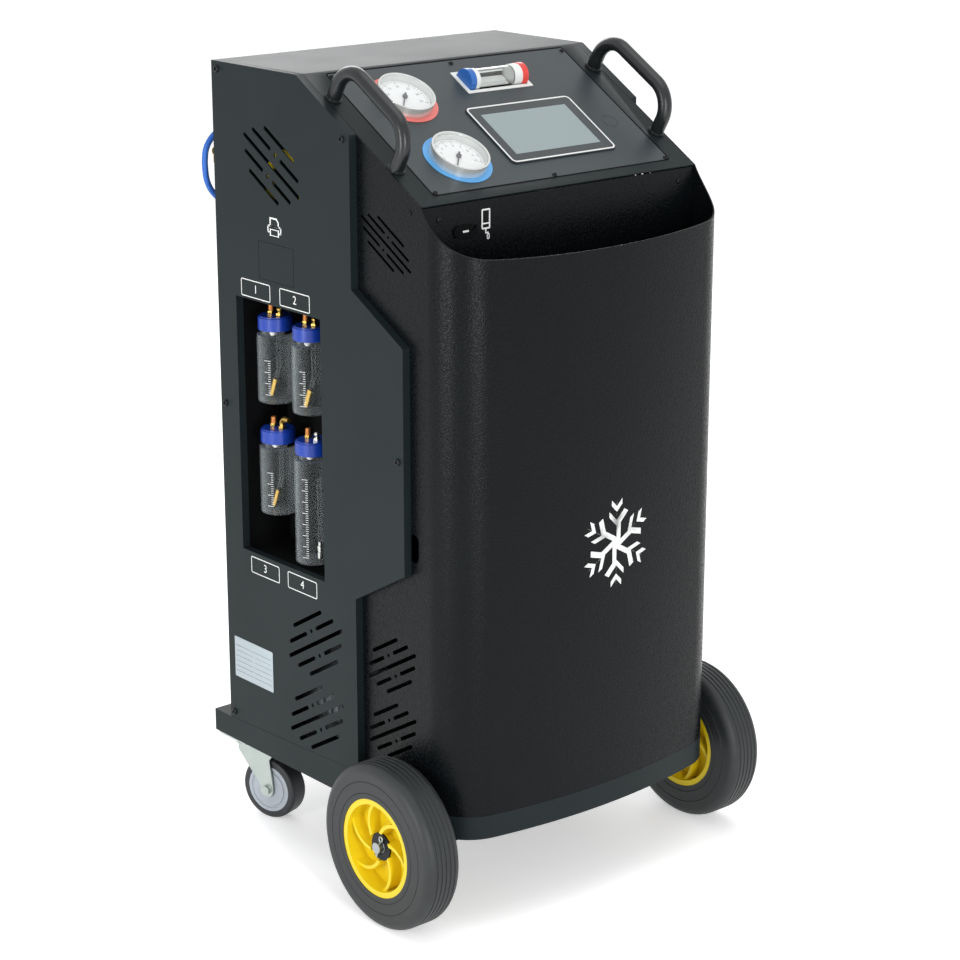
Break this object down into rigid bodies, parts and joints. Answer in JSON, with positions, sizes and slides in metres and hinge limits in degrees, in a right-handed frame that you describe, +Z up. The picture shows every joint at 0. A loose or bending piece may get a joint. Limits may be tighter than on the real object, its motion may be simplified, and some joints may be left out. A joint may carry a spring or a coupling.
{
  "type": "refrigerant recovery machine",
  "caption": "Wheeled refrigerant recovery machine: sheet cabinet, sloping panel with gauges and touch screen, bowed front cover with tool pocket, oil bottle bay, casters and hung hoses.",
  "frame": {"origin": "on the floor, under the middle of the base", "axes": "+X to the right seen from the front, +Y to the back, +Z up"},
  "size_m": [0.64, 0.584, 1.1639],
  "materials": {
    "cabinet_paint": "fine textured powder coat, dark grey",
    "plate_paint": "satin powder coat, mid grey",
    "cover_paint": "coarse textured powder coat, near black",
    "handle_paint": "satin black paint on steel tube",
    "screen_glass": "glossy overlay",
    "gauge_steel": "polished steel case with a white dial",
    "needle_black": "matt black",
    "clear_glass": "clear",
    "ring_colour": "printed ring",
    "frame_plastic": "white moulding",
    "black_plastic": "moulded black",
    "bay_paint": "matt black inside",
    "bottle_plastic": "clear plastic",
    "cap_plastic": "moulded blue",
    "brass": "machined",
    "axle_steel": "zinc plated",
    "tyre_rubber": "moulded rubber",
    "rim_plastic": "moulded yellow",
    "zinc": "zinc plated pressing",
    "core_plastic": "moulded grey",
    "caster_rubber": "moulded rubber",
    "tank_paint": "gloss paint",
    "scale_steel": "plain sheet",
    "compressor_paint": "gloss black paint",
    "pump_alloy": "cast",
    "switch_red": "moulded red",
    "hose_blue": "smooth hose cover",
    "hose_red": "smooth hose cover"
  },
  "bodies": {
    "cabinet": {"base_tray": "cabinet_paint", "rear_panel": "cabinet_paint", "left_side_panel": "cabinet_paint", "right_side_panel": "cabinet_paint", "top_cover": "cabinet_paint", "control_plate": "plate_paint", "front_cover": "cover_paint", "pocket_panel": "cover_paint", "left_handle": "handle_paint", "right_handle": "handle_paint", "touch_screen": "screen_glass", "upper_gauge_case": "gauge_steel", "lower_gauge_case": "gauge_steel", "gauge_lenses": "clear_glass", "gauge_rings": "ring_colour", "sight_glass_frame": "frame_plastic", "sight_glass_tube": "clear_glass", "sight_glass_ends": "ring_colour", "usb_port": "black_plastic", "bottle_bay": "bay_paint", "front_axle": "axle_steel", "caster_plates": "zinc", "storage_tank": "tank_paint", "tank_scale": "scale_steel", "compressor": "compressor_paint", "vacuum_pump": "pump_alloy", "condenser": "pump_alloy", "valve_manifold": "brass", "power_inlet": "black_plastic", "hose_outlets": "brass", "blue_hose": "hose_blue", "blue_hose_coil": "hose_blue", "red_hose": "hose_red", "red_hose_coil": "hose_red", "hose_couplers": "brass"},
    "left_wheel": {"left_tyre": "tyre_rubber", "left_rim": "rim_plastic"},
    "right_wheel": {"right_tyre": "tyre_rubber", "right_rim": "rim_plastic"},
    "left_caster": {"left_caster_fork": "zinc"},
    "right_caster": {"right_caster_fork": "zinc"},
    "left_caster_wheel": {"left_caster_core": "core_plastic", "left_caster_tyre": "caster_rubber"},
    "right_caster_wheel": {"right_caster_core": "core_plastic", "right_caster_tyre": "caster_rubber"},
    "upper_needle": {"upper_gauge_needle": "needle_black"},
    "lower_needle": {"lower_gauge_needle": "needle_black"},
    "switch": {"main_switch": "switch_red"},
    "oil_bottle_1": {"bottle_1": "bottle_plastic", "bottle_1_cap": "cap_plastic", "bottle_1_fittings": "brass"},
    "oil_bottle_2": {"bottle_2": "bottle_plastic", "bottle_2_cap": "cap_plastic", "bottle_2_fittings": "brass"},
    "oil_bottle_3": {"bottle_3": "bottle_plastic", "bottle_3_cap": "cap_plastic", "bottle_3_fittings": "brass"},
    "oil_bottle_4": {"bottle_4": "bottle_plastic", "bottle_4_cap": "cap_plastic", "bottle_4_fittings": "brass"}
  },
  "joints": [
    {"name": "left_wheel_spin", "type": "hinge", "parent": "cabinet", "child": "left_wheel", "pos_m": [-0.291, -0.172, 0.1185], "axis": [1, 0, 0], "continuous": true},
    {"name": "right_wheel_spin", "type": "hinge", "parent": "cabinet", "child": "right_wheel", "pos_m": [0.291, -0.172, 0.1185], "axis": [1, 0, 0], "continuous": true},
    {"name": "left_caster_swivel", "type": "hinge", "parent": "cabinet", "child": "left_caster", "pos_m": [-0.213, 0.252, 0.117], "axis": [0, 0, 1], "continuous": true},
    {"name": "left_caster_wheel_spin", "type": "hinge", "parent": "left_caster", "child": "left_caster_wheel", "pos_m": [-0.20364, 0.2214, 0.0475], "axis": [0.9563, 0.2924, 0], "continuous": true},
    {"name": "right_caster_swivel", "type": "hinge", "parent": "cabinet", "child": "right_caster", "pos_m": [0.213, 0.252, 0.117], "axis": [0, 0, 1], "continuous": true},
    {"name": "right_caster_wheel_spin", "type": "hinge", "parent": "right_caster", "child": "right_caster_wheel", "pos_m": [0.22236, 0.2214, 0.0475], "axis": [0.9563, 0.2924, 0], "continuous": true},
    {"name": "upper_needle_swing", "type": "hinge", "parent": "cabinet", "child": "upper_needle", "pos_m": [-0.129, -0.01525, 1.11086], "axis": [0, 0.506, -0.8625], "range_deg": [0, 260], "stiffness_Nm_per_rad": 0.002},
    {"name": "lower_needle_swing", "type": "hinge", "parent": "cabinet", "child": "lower_needle", "pos_m": [-0.129, -0.12737, 1.04508], "axis": [0, 0.506, -0.8625], "range_deg": [0, 260], "stiffness_Nm_per_rad": 0.002},
    {"name": "bottle_1_slide", "type": "slide", "parent": "cabinet", "child": "oil_bottle_1", "axis": [-1, 0, 0], "range_m": [0, 0.09]},
    {"name": "bottle_2_slide", "type": "slide", "parent": "cabinet", "child": "oil_bottle_2", "axis": [-1, 0, 0], "range_m": [0, 0.09]},
    {"name": "bottle_3_slide", "type": "slide", "parent": "cabinet", "child": "oil_bottle_3", "axis": [-1, 0, 0], "range_m": [0, 0.09]},
    {"name": "bottle_4_slide", "type": "slide", "parent": "cabinet", "child": "oil_bottle_4", "axis": [-1, 0, 0], "range_m": [0, 0.09]},
    {"name": "main_switch_rock", "type": "hinge", "parent": "cabinet", "child": "switch", "pos_m": [0.15, 0.247, 0.303], "axis": [1, 0, 0], "range_deg": [0, 14]}
  ]
}
